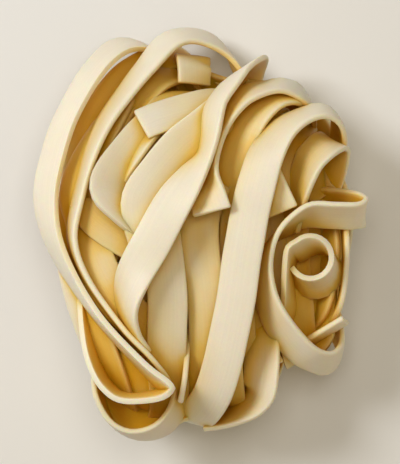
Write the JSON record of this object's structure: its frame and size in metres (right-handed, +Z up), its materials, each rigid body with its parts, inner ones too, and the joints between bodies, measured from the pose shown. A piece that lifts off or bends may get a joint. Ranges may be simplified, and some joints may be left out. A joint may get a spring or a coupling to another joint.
{
  "type": "dry pasta nest",
  "caption": "Nest of dried ribbon pasta: a skein of long flat ribbons wound round and round, lying on its flatter side, with loose ends, a curl and loops at its rim.",
  "frame": {"origin": "under the middle of the nest's box, on the surface that it lies on", "axes": "+Z up from the surface, out of the nest's shown side; +Y along the skein, towards its head; +X across it, towards the curl"},
  "size_m": [0.0688, 0.0868, 0.0358],
  "materials": {
    "pasta": "smooth dry pasta, pale cream, satin, slightly translucent, deeper golden in the gaps"
  },
  "bodies": {
    "root": {"pasta_nest": "pasta"}
  },
  "joints": []
}
